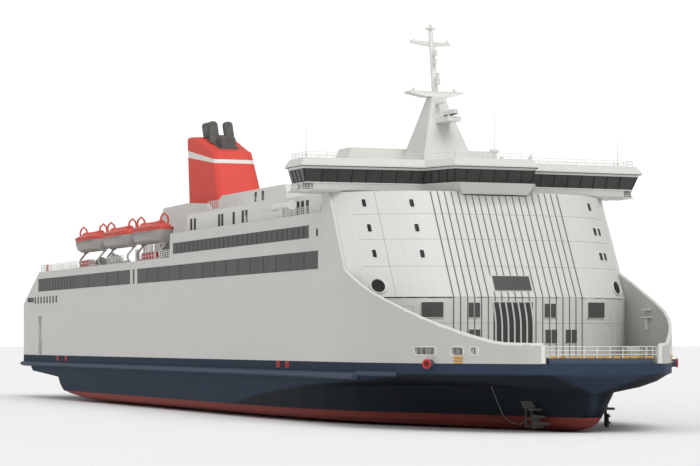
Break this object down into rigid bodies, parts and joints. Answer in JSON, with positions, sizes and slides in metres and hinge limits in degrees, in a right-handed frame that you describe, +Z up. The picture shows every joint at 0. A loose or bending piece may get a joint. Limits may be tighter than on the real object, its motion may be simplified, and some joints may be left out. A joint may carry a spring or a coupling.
{
  "type": "passenger and vehicle ferry, 1:10 scale model",
  "caption": "Ocean passenger and vehicle ferry at 1:10 scale, with turning propellers and rudders, an opening stern ramp, swinging lifeboat davits and a turning radar scanner.",
  "frame": {"origin": "midships on the flat keel, on the centreline", "axes": "+X towards the bow, +Y to port, +Z up"},
  "size_m": [15.95, 3.72, 4.094],
  "materials": {
    "white_paint": "semi-gloss marine enamel",
    "house_paint": "semi-gloss marine enamel",
    "navy_paint": "satin hull paint",
    "antifouling_red": "matt underwater paint",
    "dark_glass": "tinted window glass, opaque from outside",
    "funnel_red": "satin paint with one white band",
    "exhaust_black": "matt heat-proof paint",
    "lifeboat_red": "moulded boat laminate and cover",
    "grey_paint": "satin deck paint",
    "anchor_iron": "cast, painted grey",
    "bronze": "cast and polished"
  },
  "bodies": {
    "hull": {"hull_bottom": "antifouling_red", "hull_topsides": "navy_paint", "side_shell": "white_paint", "upper_accommodation": "white_paint", "front_block": "white_paint", "bow_platform": "navy_paint", "engine_casing": "house_paint", "bridge_house": "house_paint", "top_house": "house_paint", "bridge_base": "white_paint", "bridge_glass": "dark_glass", "bridge_roof": "white_paint", "mast_base": "white_paint", "mast_pole": "white_paint", "radar_bracket": "white_paint", "funnel": "funnel_red", "exhaust_pipes": "exhaust_black", "bow_plate_starboard": "white_paint", "belting_starboard": "navy_paint", "deckhouse_starboard": "house_paint", "cowl_ventilator_starboard": "house_paint", "shaft_starboard": "grey_paint", "anchor_starboard": "anchor_iron", "windlass_starboard": "grey_paint", "deck_drum_starboard": "house_paint", "lower_windows_starboard": "dark_glass", "upper_windows_starboard": "dark_glass", "bow_plate_port": "white_paint", "belting_port": "navy_paint", "deckhouse_port": "house_paint", "cowl_ventilator_port": "house_paint", "shaft_port": "grey_paint", "anchor_port": "anchor_iron", "windlass_port": "grey_paint", "deck_drum_port": "house_paint", "lower_windows_port": "dark_glass", "upper_windows_port": "dark_glass"},
    "propeller_starboard": {"propeller_starboard": "bronze"},
    "rudder_starboard": {"rudder_starboard": "antifouling_red"},
    "davit_starboard_1": {"davit_starboard_1": "grey_paint", "lifeboat_starboard_1": "lifeboat_red"},
    "davit_starboard_2": {"davit_starboard_2": "grey_paint", "lifeboat_starboard_2": "lifeboat_red"},
    "davit_starboard_3": {"davit_starboard_3": "grey_paint", "lifeboat_starboard_3": "lifeboat_red"},
    "propeller_port": {"propeller_port": "bronze"},
    "rudder_port": {"rudder_port": "antifouling_red"},
    "davit_port_1": {"davit_port_1": "grey_paint", "lifeboat_port_1": "lifeboat_red"},
    "davit_port_2": {"davit_port_2": "grey_paint", "lifeboat_port_2": "lifeboat_red"},
    "davit_port_3": {"davit_port_3": "grey_paint", "lifeboat_port_3": "lifeboat_red"},
    "stern_ramp": {"stern_ramp": "white_paint"},
    "radar_scanner": {"radar_scanner": "white_paint"}
  },
  "joints": [
    {"name": "propeller_starboard_spin", "type": "hinge", "parent": "hull", "child": "propeller_starboard", "pos_m": [-7.035, -0.5, 0.16], "axis": [1, 0, 0], "continuous": true},
    {"name": "rudder_starboard_turn", "type": "hinge", "parent": "hull", "child": "rudder_starboard", "pos_m": [-7.305, -0.5, 0.33], "axis": [0, 0, 1], "range_deg": [-35, 35]},
    {"name": "davit_starboard_1_swing", "type": "hinge", "parent": "hull", "child": "davit_starboard_1", "pos_m": [-4.325, -1.445, 1.8443], "axis": [1, 0, 0], "range_deg": [0, 35]},
    {"name": "davit_starboard_2_swing", "type": "hinge", "parent": "hull", "child": "davit_starboard_2", "pos_m": [-2.905, -1.445, 1.8443], "axis": [1, 0, 0], "range_deg": [0, 35]},
    {"name": "davit_starboard_3_swing", "type": "hinge", "parent": "hull", "child": "davit_starboard_3", "pos_m": [-1.485, -1.445, 1.8443], "axis": [1, 0, 0], "range_deg": [0, 35]},
    {"name": "propeller_port_spin", "type": "hinge", "parent": "hull", "child": "propeller_port", "pos_m": [-7.035, 0.5, 0.16], "axis": [1, 0, 0], "continuous": true},
    {"name": "rudder_port_turn", "type": "hinge", "parent": "hull", "child": "rudder_port", "pos_m": [-7.305, 0.5, 0.33], "axis": [0, 0, 1], "range_deg": [-35, 35]},
    {"name": "davit_port_1_swing", "type": "hinge", "parent": "hull", "child": "davit_port_1", "pos_m": [-4.325, 1.445, 1.8443], "axis": [-1, 0, 0], "range_deg": [0, 35]},
    {"name": "davit_port_2_swing", "type": "hinge", "parent": "hull", "child": "davit_port_2", "pos_m": [-2.905, 1.445, 1.8443], "axis": [-1, 0, 0], "range_deg": [0, 35]},
    {"name": "davit_port_3_swing", "type": "hinge", "parent": "hull", "child": "davit_port_3", "pos_m": [-1.485, 1.445, 1.8443], "axis": [-1, 0, 0], "range_deg": [0, 35]},
    {"name": "stern_ramp_hinge", "type": "hinge", "parent": "hull", "child": "stern_ramp", "pos_m": [-7.975, 0, 0.68], "axis": [0, -1, 0], "range_deg": [0, 100]},
    {"name": "radar_scanner_spin", "type": "hinge", "parent": "hull", "child": "radar_scanner", "pos_m": [4.545, 0, 3.15], "axis": [0, 0, 1], "continuous": true}
  ]
}
